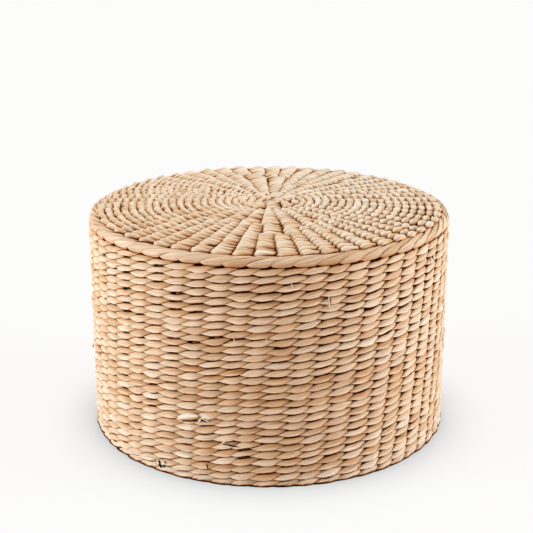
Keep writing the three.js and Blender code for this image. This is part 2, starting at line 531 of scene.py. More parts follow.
@dataclass(frozen=True)
class StrandSection:
    """Cross-section of a flat strand: a lip on its lower edge, a low dome and a thin upper edge.

    The points run from the lower edge over the outer face to the upper edge and back inside.

    Attributes:
        thickness: the strand's thickness.
        across_shares: place across the strand of each point, from -1 to 1.
        height_shares: height of each point, as shares of the thickness.
        tuck_shares: how much of the shade under the next row each point gets.
        wedge_shares: how much of the shade beside the next strand's tip each point gets.
        lip_shares: how much of the painted highlight on the proud lip each point gets; below 0,
            painted shade.
        inner: the points of the inner face, which no light reaches.
    """

    thickness: float = 3.2 * MM
    across_shares: Shares = (-1.0, -0.94, -0.66, -0.1, 0.42, 0.82, 1.0, 1.2, -1.2)
    height_shares: Shares = (0.02, 0.36, 0.54, 0.58, 0.48, 0.28, 0.0, -0.62, -0.62)
    tuck_shares: Shares = (0.8, 0.0, 0.0, 0.0, 0.0, 0.3, 1.0, 1.0, 1.0)
    wedge_shares: Shares = (1.0, 1.0, 0.4, 0.0, 0.0, 0.0, 0.0, 0.0, 0.0)
    lip_shares: Shares = (1.0, 1.0, 0.5, 0.0, -0.1, -0.2, -0.2, 0.0, 0.0)
    inner: tuple[int, ...] = (7, 8)

    def points(self) -> int:
        """Number of points in the section."""
        return len(self.across_shares)

    def top(self) -> float:
        """Height of the dome over the strand's middle line."""
        return max(self.height_shares) * self.thickness

    def depths(self, depth: Array, tuck: Array, wedge: Array | float = 0.0) -> Array:
        """How much painted shade each point of each ring gets.

        Args:
            depth: how deep each ring lies in the weave, from 0 to 1.
            tuck: how far each ring's upper edge lies under its neighbour, from 0 to 1.
            wedge: how near each ring lies to the next strand's tip, from 0 to 1.

        Returns:
            The depth of each point, with the section's points last.
        """
        shades = (depth[..., None] + tuck[..., None] * np.array(self.tuck_shares)
                  + np.asarray(wedge)[..., None] * np.array(self.wedge_shares))
        shades[..., list(self.inner)] = 1
        return np.clip(shades, 0, 1)


@dataclass(frozen=True)
class Wave:
    """A smooth curve through chosen values, which repeats.

    Attributes:
        places: where the values are, in stake pitches, in rising order within one period. In
            twining they run from -1 to 1 about the stake that the strand passes outside.
        shares: the values there.
        period: after how many stake pitches it repeats.
    """

    places: Shares
    shares: Shares
    period: float = 2.0

    def at(self, s: Array) -> Array:
        """The curve's value at places along the strand.

        Args:
            s: the places, in stake pitches.

        Returns:
            The values, by a cubic between each value and the next.
        """
        x = np.array([self.places[-1] - self.period, *self.places, self.places[0] + self.period])
        y = np.array([self.shares[-1], *self.shares, self.shares[0]])
        slope = np.gradient(y, x)
        slope[0] = slope[-2]
        slope[-1] = slope[1]
        at = (np.asarray(s) - x[0]) % self.period + x[0]
        cell = np.clip(np.searchsorted(x, at, side="right") - 1, 0, len(x) - 2)
        span = x[cell + 1] - x[cell]
        t = (at - x[cell]) / span
        rising = t * t * (3 - 2 * t)
        return (y[cell] * (1 - rising) + y[cell + 1] * rising
                + span * slope[cell] * t * (1 - t) ** 2 - span * slope[cell + 1] * t * t * (1 - t))


@dataclass(frozen=True)
class Unevenness:
    """How far hand weaving strays, as the spread of each random draw.

    Attributes:
        rise: up or down in a strand's row.
        offset: out of the skin.
        width_share: in width.
        roll: in roll.
        dome_share: in the height of a section's points.
        shortest_run: fewest showing stretches of one length of reed.
        longest_run: most of them.
    """

    rise: float = 0.52 * MM
    offset: float = 0.38 * MM
    width_share: float = 0.11
    roll: float = math.radians(6)
    dome_share: float = 0.12
    shortest_run: int = 2
    longest_run: int = 7


@dataclass
class StrandTones:
    """Draws the tone, warmth and number of every length of reed that is spliced in.

    Attributes:
        rng: the source of the draws.
        uneven: how long a length is.
        spread: spread of tone from length to length.
        stretch_spread: spread of tone from one showing stretch to the next.
        stained_share: share of the lengths that are stained.
        stained: range of warmth of a stained length.
        clean: range of warmth of any other.
        number_step: from one length's number to the next, so that their noises differ.
        drawn: how many lengths were drawn.
    """

    rng: np.random.Generator
    uneven: Unevenness
    spread: float = 0.10
    stretch_spread: float = 0.05
    stained_share: float = 0.12
    stained: Shares = (0.3, 0.9)
    clean: Shares = (0.0, 0.2)
    number_step: float = 7.31
    drawn: int = 0

    def chain(self, count: int, tone: float) -> Array:
        """Strand values for the showing stretches of one strand's whole way round.

        Args:
            count: how many stretches show.
            tone: the mean tone.

        Returns:
            Tone, warmth and strand number of each stretch.
        """
        rows = np.zeros((count, 3))
        at = 0
        while at < count:
            run = int(self.rng.integers(self.uneven.shortest_run, self.uneven.longest_run + 1))
            self.drawn += 1
            stained = self.rng.random() < self.stained_share
            rows[at:at + run] = (
                tone + self.rng.normal(0, self.spread),
                self.rng.uniform(*(self.stained if stained else self.clean)),
                self.drawn * self.number_step,
            )
            at += run
        rows[:, 0] += self.rng.normal(0, self.stretch_spread, count)
        return rows


# Twining

class Part(Enum):
    """A stretch of the drum's skin that is twined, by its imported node."""

    SEAT = "seat_weave"
    WALL = "side_weave"
    BASE = "base_weave"


@dataclass(frozen=True)
class Twist:
    """How the two strands of a round pass each other between two stakes.

    A strand comes out steeply, low in its row, as a narrow tip in front of the other strand. It
    widens over its stake and then slopes slowly in, high in its row, behind the next tip.

    Attributes:
        reach: how far a strand's middle line stands off the stakes' middle line.
        roll: turn of the flat strand about its own line, lower edge outwards.
        least_pitch_share: cap on the reach as a share of the distance between stakes.
        dark_below: share of the reach under which painted shade darkens the strand as it goes in.
        dark_fade: share of the reach over which it turns quite dark.
        offset_wave: the strand's distance out, as a share of the reach.
        lower_wave: place of its lower edge, as a share of the row's pitch from the row's middle.
        upper_wave: place of its upper edge, in the same way.
        tuck_wave: how far its upper edge lies in the shade of the row before.
        wedge_wave: how far its lower edge lies in the shade of the next strand's tip.
        pale_wave: painted highlight, above 0, on the strand's proud tip and head, and painted
            shade, below 0, on its tail as it goes in.
    """

    reach: float = 3.9 * MM
    roll: float = math.radians(17)
    least_pitch_share: float = 0.27
    dark_below: float = 0.1
    dark_fade: float = 0.4
    offset_wave: Wave = Wave(
        (-0.92, -0.84, -0.77, -0.70, -0.58, -0.30, 0.00, 0.20, 0.38, 0.54, 0.66, 0.85),
        (-1.00, -0.72, 0.20, 0.86, 1.05, 1.08, 1.00, 0.88, 0.58, 0.18, -0.32, -0.98))
    lower_wave: Wave = Wave(
        (-0.92, -0.80, -0.72, -0.62, -0.46, -0.26, 0.00, 0.20, 0.40, 0.55, 0.70, 0.85),
        (-0.55, -0.45, -0.36, -0.40, -0.48, -0.53, -0.48, -0.40, -0.27, -0.14, -0.20, -0.50))
    upper_wave: Wave = Wave(
        (-0.92, -0.80, -0.72, -0.62, -0.46, -0.26, 0.00, 0.20, 0.40, 0.54, 0.62, 0.76, 0.88),
        (0.45, -0.05, -0.30, -0.19, 0.01, 0.25, 0.43, 0.50, 0.54, 0.51, 0.46, 0.58, 0.56))
    tuck_wave: Wave = Wave(
        (-0.90, -0.72, -0.45, -0.25, 0.00, 0.30, 0.80),
        (1.00, 0.00, 0.00, 0.45, 0.90, 1.00, 1.00))
    wedge_wave: Wave = Wave(
        (-0.90, -0.70, -0.30, 0.14, 0.26, 0.37, 0.55, 0.80),
        (0.90, 0.00, 0.00, 0.00, 0.50, 1.00, 1.00, 1.00))
    pale_wave: Wave = Wave((-0.80, -0.50, 0.00, 0.50), (0.05, 0.08, 0.00, -0.07))

    def at(self, s: Array, pitch: float, row_pitch: float) -> dict[str, Array]:
        """Where the strand lies at places s along the wave.

        Args:
            s: places, in stake pitches from the stake that the strand passes outside.
            pitch: distance between stakes.
            row_pitch: distance between rows.

        Returns:
            The strand's distance out, rise in its row, width, its painted shade as depth, tuck and
            wedge, and its paleness, painted highlight above 0 and painted shade below.
        """
        share = self.offset_wave.at(s)
        lower, upper = self.lower_wave.at(s) * row_pitch, self.upper_wave.at(s) * row_pitch
        return {
            "offset": min(self.reach, self.least_pitch_share * pitch) * share,
            "rise": (lower + upper) / 2,
            "width": upper - lower,
            "depth": np.clip((self.dark_below - share) / self.dark_fade, 0, 1),
            "tuck": np.clip(self.tuck_wave.at(s), 0, 1),
            "wedge": np.clip(self.wedge_wave.at(s), 0, 1),
            "pale": self.pale_wave.at(s),
        }


@dataclass(frozen=True)
class Round:
    """One closed round of weft, in the half plane of radius and height.

    Attributes:
        radius: radius of the stakes' middle line there.
        height: its height.
        facing: unit vector out of the skin, as radial and upward shares.
        stakes: angle of each stake, or bundle of stakes, that the strands pass, rising.
        tone: mean tone of the round's strands, from 0, dark, to 1, pale.
        drift: slow waves by which the round strays along the skin: one value for the sine and
            one for the cosine of 1, 2, 3 and more waves round the drum.
    """

    radius: float
    height: float
    facing: tuple[float, float]
    stakes: Array
    tone: float
    drift: Array | None = None

    def strayed(self, angle: Array) -> Array:
        """How far the round has drifted towards the round before at each angle.

        Args:
            angle: angles about the drum's axis.

        Returns:
            The distance at each angle.
        """
        if self.drift is None:
            return np.zeros_like(angle)
        phase = angle[..., None] * np.arange(1, self.drift.shape[1] + 1)
        return np.sin(phase) @ self.drift[0] + np.cos(phase) @ self.drift[1]

    def pitches(self) -> Array:
        """Angle from each stake to the next."""
        return np.diff(self.stakes, append=self.stakes[0] + FULL_TURN)

    def place(self, angle: Array, offset: Array, rise: Array) -> Array:
        """Points in space.

        Args:
            angle: angles about the drum's axis.
            offset: distances out of the skin.
            rise: distances along the skin towards the round before.

        Returns:
            An array with x, y and z last.
        """
        out_r, out_z = self.facing
        return about_axis(self.radius + offset * out_r - rise * out_z, angle,
                          self.height + offset * out_z + rise * out_r)

    def back(self, angle: Array) -> Array:
        """Unit vectors along the skin towards the round before."""
        return about_axis(-self.facing[1], angle, self.facing[0])


@dataclass(frozen=True)
class Sampling:
    """Where the rings of a strand are, in stake pitches from the stake it passes outside.

    Attributes:
        outer: rings from one gap between stakes to the next, while the strand is outside.
        inner: rings from there on, while it is behind the next stake, closest at its tip.
    """

    outer: Shares = (-0.5, -0.41, -0.32, -0.22, -0.11, 0.0, 0.11, 0.22, 0.32, 0.41, 0.5)
    inner: Shares = (0.59, 0.68, 0.82, 1.0, 1.12, 1.2, 1.26, 1.33, 1.41)


@dataclass
class Twining:
    """Two-strand twining over stakes, added round by round to a mesh.

    Attributes:
        rng: the source of its unevenness.
        row_pitch: distance between rounds.
        section: a strand's cross-section.
        twist: how the strands pass each other.
        uneven: how far they stray.
        sampling: where their rings are.
        lip_paleness: how much paler the painted highlight on the proud lip is.
        lowest: height under which no strand goes.
        on_floor: whether the outer side gets painted shade just over the lowest height.
        floor_dark: height up to which that painted shade is quite dark.
        floor_fade: height over which it fades.
        highest: height from which painted shade darkens the strands, under the rim.
        rim_fade: height over which they turn quite dark.
        buffer: where the rings go.
    """

    rng: np.random.Generator
    row_pitch: float
    section: StrandSection
    twist: Twist
    uneven: Unevenness = Unevenness()
    sampling: Sampling = Sampling()
    lip_paleness: float = 0.65
    lowest: float | None = None
    on_floor: bool = False
    floor_dark: float = 0.96 * MM
    floor_fade: float = 1.6 * MM
    highest: float | None = None
    rim_fade: float = 1.0 * MM
    buffer: MeshBuffer = field(default_factory=MeshBuffer)

    def __post_init__(self) -> None:
        """Prepares the draws of strand tones."""
        self.tones = StrandTones(self.rng, self.uneven)

    def order(self, count: int) -> Array:
        """Stakes in the order in which one strand after the other shows over them."""
        steps = np.arange(count)
        return steps * 2 % count if count % 2 else np.concatenate([steps[::2], steps[1::2]])

    def wander(self, spread: float, half: Array, inside: bool, knots: Array) -> Array:
        """A random stray that runs smoothly along every strand.

        Args:
            spread: size of the stray in the middle of a stretch.
            half: places along the stretch, from -0.5 to 0.5.
            inside: whether the stretch is behind its stake, where it doesn't stray.
            knots: stray of the strand that comes out, and of the one that goes in, at each gap.

        Returns:
            The stray for each stake and place.
        """
        coming, going = knots
        middle = 0 if inside else self.rng.normal(0, spread, len(coming))[:, None]
        before = np.roll(going if inside else coming, 1)[:, None]
        after = (coming if inside else going)[:, None]
        ends = np.where(half < 0, before, after)
        blend = np.sin(HALF_TURN * half) ** 2
        return middle * (1 - blend) + ends * blend

    def stretch(self, row: Round, inside: bool, spreads: Shares,
                knots: list[Array]) -> dict[str, Array]:
        """Lays every strand of a round over one kind of stretch.

        Args:
            row: the round.
            inside: whether the stretch is behind its stake.
            spreads: spread of the strays in rise, offset, width and roll.
            knots: those strays at each gap between stakes.

        Returns:
            Places, angle, middle line, width, roll and shades of every ring.
        """
        s = np.array(self.sampling.inner if inside else self.sampling.outer)
        half = s - 1 if inside else s
        rise, offset, width, roll = (self.wander(spread, half, inside, ends)
                                     for spread, ends in zip(spreads, knots))
        after = row.pitches()
        before = np.roll(after, 1)
        angle = row.stakes[:, None] + half * np.where(half < 0, before[:, None], after[:, None])
        pitch = row.radius * FULL_TURN / len(row.stakes)
        lie = self.twist.at(s, pitch, self.row_pitch)
        part = {name: np.broadcast_to(values, angle.shape) for name, values in lie.items()}
        part |= {
            "half": half, "along": s * pitch, "angle": angle,
            "line": row.place(angle, lie["offset"] + offset,
                              lie["rise"] + rise + row.strayed(angle)),
            "width": lie["width"] * (1 + width), "roll": self.twist.roll + roll,
        }
        return part

    def add_round(self, row: Round) -> None:
        """Weaves one round.

        Args:
            row: where the round lies and which stakes it passes.
        """
        count, around, uneven = len(row.stakes), self.section.points(), self.uneven
        order = self.order(count)
        values, lap = np.zeros((count, 3)), np.zeros(count)
        values[order] = self.tones.chain(count, row.tone)
        lap[order] = np.arange(count)

        spreads = (uneven.rise, uneven.offset, uneven.width_share, uneven.roll)
        knots = [self.rng.normal(0, spread / 2, (2, count)) for spread in spreads]
        outer, inner = (self.stretch(row, inside, spreads, knots) for inside in (False, True))
        for part, other in ((outer, inner), (inner, outer)):
            longer = with_neighbours(part["line"], other["line"])
            part["ahead"] = unit(longer[:, 2:] - longer[:, :-2])

        domes = 1 + self.rng.normal(0, uneven.dome_share, (count, 1, around))
        outer_rings = self.add_rings(outer, values[:, None], lap[:, None], row, domes)

        # Behind a stake lies the strand that shows over the stakes before and after it
        late = inner["half"] >= 0
        following, own = (np.roll(values, way, axis=0)[:, None] for way in (-1, 1))
        strand = np.where(late[:, None], following, own)
        lap = np.where(late, np.roll(lap, -1)[:, None], np.roll(lap, 1)[:, None])
        inner_rings = self.add_rings(inner, strand, lap, row, domes)
        for rings in (outer_rings, with_neighbours(inner_rings, outer_rings)):
            self.buffer.add_strips(rings, around)

    def add_rings(self, part: dict[str, Array], strand: Array, lap: Array, row: Round,
                  domes: Array) -> Array:
        """Adds the section's points along one kind of stretch.

        Args:
            part: the middle lines and what goes with them.
            strand: tone, warmth and number of each ring's strand.
            lap: how many showing stretches came before.
            row: the round.
            domes: how much each point of each stretch's section is raised.

        Returns:
            The number of each ring's first point.
        """
        ahead, back = part["ahead"], row.back(part["angle"])
        upward = unit(back - np.sum(back * ahead, axis=-1, keepdims=True) * ahead)
        outward = np.cross(ahead, upward)
        cosine, sine = np.cos(part["roll"])[..., None], np.sin(part["roll"])[..., None]
        across_axis = cosine * upward - sine * outward
        height_axis = cosine * outward + sine * upward
        section = self.section
        across = np.array(section.across_shares)
        side = part["width"][..., None] / 2 * across
        height = np.array(section.height_shares) * section.thickness * domes
        points = (part["line"][:, :, None] + side[..., None] * across_axis[:, :, None]
                  + height[..., None] * height_axis[:, :, None])
        if self.lowest is not None:
            points[..., 2] = np.maximum(points[..., 2], self.lowest)
        # Painted shade: deep in the weave, tucked under the row before, beside the next tip, and at
        # the floor or rim
        depth = section.depths(part["depth"], part["tuck"], part["wedge"])
        depth = np.maximum(depth, self.edge_shade(points, row))
        # Painted highlight on the proud lip and tip, painted shade on the tail and tucked edge
        tone = (strand[..., 0:1] + part["pale"][..., None]
                + self.lip_paleness * np.array(section.lip_shares))
        laps_before = 2 * lap * row.radius * FULL_TURN / len(row.stakes)
        places = stacked((laps_before + part["along"])[..., None], across, strand[..., 2:3])
        return self.buffer.add_points(points, places, stacked(tone, strand[..., 1:2], depth))

    def edge_shade(self, points: Array, row: Round) -> Array | float:
        """How much painted shade points get just over the floor or under the rim.

        Args:
            points: the points of a round.
            row: the round.

        Returns:
            Their painted shade, from 0 to 1.
        """
        if self.highest is not None:
            return np.clip((points[..., 2] - self.highest) / self.rim_fade, 0, 1)
        if not self.on_floor:
            return 0.0
        near = 1 - (points[..., 2] - self.lowest - self.floor_dark) / self.floor_fade
        out = np.hypot(points[..., 0], points[..., 1]) - row.radius
        return np.clip(np.minimum(near, out / self.floor_fade - 1), 0, 1)


@dataclass
class StakeLayout:
    """Where the stakes stand: their angle at every row, and how they bundle towards the middle.

    Attributes:
        drum_radius: outer radius of the wall.
        count: stakes at the rim.
        stray: spread of the distance between stakes at the rim.
        drift: spread of a stake's stray from one row to the next.
        most_rows: for how many rows that is drawn.
        lean: mean sideways lean of the stakes for each row of the wall.
        lean_change: how much more they lean on the side that leans most.
        lean_angle: where they lean most.
        split_radii: between these radii each pair of stakes on the seat parts.
        bundle_radius: inside it the pairs bundle by two again.
        bundle_step: how much radius each bundle there needs.
        fewest_bundles: how many there are in the middle.
    """

    drum_radius: float
    count: int = 54
    stray: float = 1.3 * MM
    drift: float = 0.35 * MM
    most_rows: int = 64
    lean: float = -0.75 * MM
    lean_change: float = -0.45 * MM
    lean_angle: float = math.radians(60)
    split_radii: tuple[float, float] = (80 * MM, 150 * MM)
    bundle_radius: float = 38 * MM
    bundle_step: float = 2.7 * MM
    fewest_bundles: int = 4
    seed: int = 11

    def __post_init__(self) -> None:
        """Draws the stakes' strays and the radii where pairs part."""
        rng = np.random.default_rng(self.seed)
        even = FULL_TURN * np.arange(self.count) / self.count
        self.rim = even + rng.normal(0, self.stray / self.drum_radius, self.count)
        self.splits = rng.uniform(*self.split_radii, self.count // 2)
        self.steps = rng.normal(0, self.drift / self.drum_radius, (self.most_rows, self.count))

    def on_wall(self, row: int) -> Array:
        """Angles of the stakes at one row of the wall, counted from the rim."""
        lean = self.lean + self.lean_change * np.cos(self.rim - self.lean_angle)
        return self.rim + row * lean / self.drum_radius + self.steps[:row].sum(axis=0)

    def on_disc(self, radius: float, edge: Array) -> Array:
        """Angles of the stakes, pairs or bundles at one radius of the seat or base.

        Args:
            radius: the round's radius.
            edge: the stakes' angles where the disc meets the wall.

        Returns:
            Angles in rising order.
        """
        pairs = edge.reshape(-1, 2)
        if radius < self.bundle_radius:
            bundles = max(self.fewest_bundles, round(radius / self.bundle_step))
            return np.array([group.mean() for group in np.array_split(pairs.mean(axis=1), bundles)])
        columns = []
        for pair, split in zip(pairs, self.splits):
            columns.extend(pair if radius > split else [pair.mean()])
        return np.array(columns)


# The seat's rounder strand: its lip_shares paint a highlight along the crest
SEAT_SECTION = StrandSection(
    thickness=5.2 * MM,
    across_shares=(-1.0, -0.84, -0.45, 0.0, 0.45, 0.84, 1.0, 1.1, -1.1),
    height_shares=(0.0, 0.34, 0.54, 0.60, 0.54, 0.34, 0.0, -0.45, -0.45),
    tuck_shares=(0.9, 0.2, 0.0, 0.0, 0.0, 0.4, 1.0, 1.0, 1.0),
    wedge_shares=(1.0, 1.0, 0.95, 0.5, 0.2, 0.0, 0.0, 0.0, 0.0),
    lip_shares=(0.0, -0.3, 0.0, 0.5, 0.3, 0.0, 0.0, 0.0, 0.0))

# The seat's beads: painted highlight on each head and painted shade on each tail as it goes in
SEAT_TWIST = Twist(
    reach=3.8 * MM, roll=math.radians(4), dark_below=0.74, dark_fade=0.56,
    pale_wave=Wave((-0.80, -0.50, 0.00, 0.50), (0.05, 0.25, 0.00, -0.20)),
    offset_wave=Wave(
        (-0.92, -0.80, -0.70, -0.62, -0.55, -0.47, -0.38, -0.20,
         0.00, 0.20, 0.40, 0.55, 0.70, 0.85),
        (-1.00, -0.90, -0.60, 0.05, 0.85, 1.30, 1.38, 1.22,
         0.98, 0.70, 0.26, -0.10, -0.50, -0.95)),
    lower_wave=Wave(
        (-0.92, -0.80, -0.70, -0.62, -0.50, -0.30, -0.05, 0.12, 0.26, 0.40, 0.56, 0.85),
        (-0.42, -0.34, -0.28, -0.36, -0.52, -0.57, -0.49, -0.36, -0.16, 0.04, 0.06, -0.36)),
    upper_wave=Wave(
        (-0.92, -0.80, -0.70, -0.62, -0.50, -0.30, -0.05, 0.20, 0.40, 0.55, 0.70, 0.85),
        (0.36, 0.16, 0.00, 0.02, 0.22, 0.42, 0.51, 0.56, 0.56, 0.52, 0.46, 0.44)))


@dataclass
class Weft:
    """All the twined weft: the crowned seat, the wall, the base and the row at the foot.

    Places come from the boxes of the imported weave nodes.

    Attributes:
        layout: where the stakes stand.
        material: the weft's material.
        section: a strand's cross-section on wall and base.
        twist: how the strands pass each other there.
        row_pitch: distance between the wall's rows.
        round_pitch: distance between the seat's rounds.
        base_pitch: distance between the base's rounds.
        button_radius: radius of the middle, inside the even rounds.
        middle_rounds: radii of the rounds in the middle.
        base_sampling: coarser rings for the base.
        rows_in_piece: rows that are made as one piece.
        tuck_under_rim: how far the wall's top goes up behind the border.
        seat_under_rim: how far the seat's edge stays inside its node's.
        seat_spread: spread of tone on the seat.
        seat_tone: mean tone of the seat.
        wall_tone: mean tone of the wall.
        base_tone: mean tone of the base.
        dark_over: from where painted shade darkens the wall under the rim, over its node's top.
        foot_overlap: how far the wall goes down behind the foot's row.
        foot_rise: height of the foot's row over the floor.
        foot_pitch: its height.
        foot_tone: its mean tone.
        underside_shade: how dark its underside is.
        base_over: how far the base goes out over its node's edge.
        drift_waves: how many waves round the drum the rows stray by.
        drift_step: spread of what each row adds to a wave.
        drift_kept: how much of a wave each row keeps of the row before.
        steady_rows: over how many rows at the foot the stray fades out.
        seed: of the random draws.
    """

    layout: StakeLayout
    material: bpy.types.Material
    section: StrandSection = StrandSection()
    twist: Twist = Twist()
    row_pitch: float = 8.5 * MM
    round_pitch: float = 9.4 * MM
    base_pitch: float = 11.5 * MM
    button_radius: float = 16 * MM
    middle_rounds: Shares = (4 * MM, 11.5 * MM)
    base_sampling: Sampling = Sampling((-0.5, -0.25, 0.0, 0.25, 0.5), (0.7, 1.0, 1.2, 1.33))
    rows_in_piece: int = 7
    tuck_under_rim: float = 1.2 * MM
    seat_under_rim: float = -3.2 * MM
    seat_spread: float = 0.07
    seat_tone: float = 0.47
    wall_tone: float = 0.5
    base_tone: float = 0.45
    dark_over: float = -0.3 * MM
    foot_overlap: float = 2.4 * MM
    foot_rise: float = 3.0 * MM
    foot_pitch: float = 9.5 * MM
    foot_tone: float = 0.75
    underside_shade: float = 0.3
    base_over: float = 3.5 * MM
    drift_waves: int = 14
    drift_step: float = 0.09 * MM
    drift_kept: float = 0.9
    steady_rows: int = 3
    seed: int = 23

    def __post_init__(self) -> None:
        """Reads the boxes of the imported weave."""
        self.seat_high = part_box("seat_weave")[1]
        self.wall_low, self.wall_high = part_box("side_weave")
        self.base_low, self.base_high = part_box("base_weave")
        self.rim_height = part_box("rim_border")[1].z
        self.cover = self.twist.reach + self.section.top()

    def crown(self, radius: Array | float) -> Array | float:
        """Height of the seat's skin at a radius."""
        share = radius / self.seat_high.x
        return self.rim_height + (self.seat_high.z - self.rim_height) * (1 - share ** 2)

    def disc_radii(self, edge: float, pitch: float) -> list[float]:
        """Radii of a disc's rounds, from the middle outwards.

        Args:
            edge: the disc's radius.
            pitch: about how far apart its even rounds are.

        Returns:
            The middle rounds' radii and those of the even rounds.
        """
        count = round((edge - self.button_radius) / pitch)
        step = (edge - self.button_radius) / count
        even = [self.button_radius + step * (i + 0.5) for i in range(count)]
        return [*self.middle_rounds, *even]

    def seat_rounds(self) -> list[Round]:
        """Rounds of the seat, from the middle outwards.

        Returns:
            The rounds.
        """
        edge = self.seat_high.x - self.seat_under_rim
        rounds = []
        for radius in self.disc_radii(edge, self.round_pitch):
            slope = 2 * (self.seat_high.z - self.rim_height) * radius / edge ** 2
            facing = Vector((slope, 1.0)).normalized()
            rounds.append(Round(radius, self.crown(radius) - self.cover, tuple(facing),
                                self.layout.on_disc(radius, self.layout.rim), self.seat_tone))
        return rounds

    def wall_rows(self) -> list[Round]:
        """Rows of the wall, from the rim down, each straying a little further than the last.

        Returns:
            The rows.
        """
        top = self.wall_high.z + self.tuck_under_rim
        length = top - self.wall_low.z + self.foot_overlap
        count = round(length / self.row_pitch)
        rng = np.random.default_rng(self.seed)
        drift = np.zeros((2, self.drift_waves))
        rows = []
        for i in range(count):
            ends = min(1.0, (count - 1 - i) / self.steady_rows)
            height = top - length * (i + 0.5) / count
            rows.append(Round(self.wall_high.x - self.cover, height, (1.0, 0.0),
                              self.layout.on_wall(i), self.wall_tone, drift * ends))
            drift = self.drift_kept * drift + rng.normal(0, self.drift_step, drift.shape)
        return rows

    def base_rounds(self) -> list[Round]:
        """Rounds of the base, from the foot inwards.

        Returns:
            The rounds.
        """
        edge = self.layout.on_wall(len(self.wall_rows()) - 1)
        radii = self.disc_radii(self.base_high.x + self.base_over, self.base_pitch)
        return [Round(radius, self.base_low.z + self.cover, (0.0, -1.0),
                      self.layout.on_disc(radius, edge), self.base_tone)
                for radius in reversed(radii)]

    def build(self) -> list[bpy.types.Object]:
        """Weaves seat, base and wall.

        Returns:
            Their pieces.
        """
        seat, wall = self.seat_rounds(), self.wall_rows()
        outer = len(seat) - self.rows_in_piece
        pieces = [
            self.piece("seat_weft_inner", Part.SEAT, seat[:outer], 1),
            self.piece("seat_weft_outer", Part.SEAT, seat[outer:], 2),
            self.piece("base_weft", Part.BASE, self.base_rounds(), 3),
        ]
        for number, start in enumerate(range(0, len(wall), self.rows_in_piece)):
            rows = wall[start:start + self.rows_in_piece]
            pieces.append(self.piece(f"wall_weft_{number + 1}", Part.WALL, rows, 10 + number))
        return pieces

    def piece(self, name: str, part: Part, rounds: list[Round], salt: int) -> bpy.types.Object:
        """Weaves some rounds as one piece.

        Args:
            name: the piece's name.
            part: which stretch of the skin the rounds cover.
            rounds: the rounds.
            salt: added to the seed.

        Returns:
            The piece.
        """
        rng = np.random.default_rng(self.seed + salt)
        if part is Part.SEAT:
            weaver = Twining(rng, self.round_pitch, SEAT_SECTION, SEAT_TWIST)
            weaver.tones.spread = self.seat_spread
        elif part is Part.WALL:
            weaver = Twining(rng, self.row_pitch, self.section, self.twist,
                             highest=self.wall_high.z + self.dark_over)
        else:
            weaver = Twining(rng, self.base_pitch, self.section, self.twist,
                             sampling=self.base_sampling, lowest=self.base_low.z)
        for row in rounds:
            weaver.add_round(row)
        return weaver.buffer.build(name, self.material, part.value, "reed_weave")

    def build_foot(self, material: bpy.types.Material) -> bpy.types.Object:
        """Weaves the foot border: one row of doubled strands, pressed flat on the floor.

        Args:
            material: its material.

        Returns:
            The piece.
        """
        low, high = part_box("foot_border")
        rows = len(self.wall_rows())
        row = Round(high.x - self.cover, low.z + self.foot_rise, (1.0, 0.0),
                    self.layout.on_wall(rows), self.foot_tone)
        shares = self.section.tuck_shares[:-2] + (self.underside_shade, self.underside_shade)
        section = replace(self.section, tuck_shares=shares, inner=())
        weaver = Twining(np.random.default_rng(self.seed + rows), self.foot_pitch, section,
                         self.twist, lowest=low.z, on_floor=True)
        weaver.add_round(row)
        return weaver.buffer.build("foot_weft", material, "foot_border", "reed_border")


# Rim border

def lagging(places: Shares, turns: Shares) -> Wave:
    """How far an edge of a border's strand lags behind an even turn.

    Args:
        places: stake pitches from where the strand comes out, from 0 to 3.
        turns: the edge's turn there in degrees, from 0 outside over 90 on top to 360.

    Returns:
        A wave over the three pitches in which the strand turns once.
    """
    return Wave(places, tuple(turn - 120 * place for place, turn in zip(places, turns)), 3.0)


@dataclass(frozen=True)
class Lay:
    """How a border's strand lies as it turns round the edge.

    The waves run over three stake pitches from where the strand comes out, on the outer side.

    Attributes:
        upper: turn of its upper edge, which lies over the strand before.
        lower: turn of its lower edge, which goes down to the wall and then under the next strand.
        depth: how deep it lies in the weave, painted as shade.
        tuck: how far its lower edge lies in the shade of the next strand.
        tilt: how far its upper edge stands proud, for its width.
        dark_under: how far under the border painted shade darkens it, as the sine of the angle.
        dark_fade: over how much of that sine it turns quite dark.
        thin_width: a strand narrower than this is thinner too.
        thinnest: its least thickness, as a share of the full one.
        hidden: for how many pitches it is hidden before it comes out.
    """

    upper: Wave = lagging(
        (0.00, 0.10, 0.22, 0.34, 0.50, 0.78, 1.00, 1.33, 1.70, 2.00, 2.30, 2.60, 2.80),
        (-9.0, 7.0, 20.0, 30.0, 39.0, 52.0, 63.0, 80.0, 102.0, 120.0, 142.0, 182.0, 245.0))
    lower: Wave = lagging(
        (0.00, 0.12, 0.25, 0.50, 0.80, 0.96, 1.10, 1.22,
         1.34, 1.50, 1.78, 2.00, 2.33, 2.60, 2.82),
        (-12.0, -25.0, -35.0, -40.0, -40.0, -31.0, -6.0, 11.0,
         21.0, 31.0, 44.0, 55.0, 71.0, 92.0, 175.0))
    depth: Wave = Wave((0.00, 0.08, 0.50, 2.25, 2.50, 2.80),
                       (0.40, 0.00, 0.00, 0.00, 0.60, 1.00), 3.0)
    tuck: Wave = Wave((0.00, 0.30, 0.90, 1.20, 2.60, 2.90),
                      (0.00, 0.40, 0.60, 1.00, 1.00, 0.20), 3.0)
    tilt: float = 0.16
    dark_under: float = 0.44
    dark_fade: float = 0.14
    thin_width: float = 6 * MM
    thinnest: float = 0.3
    hidden: float = 0.2


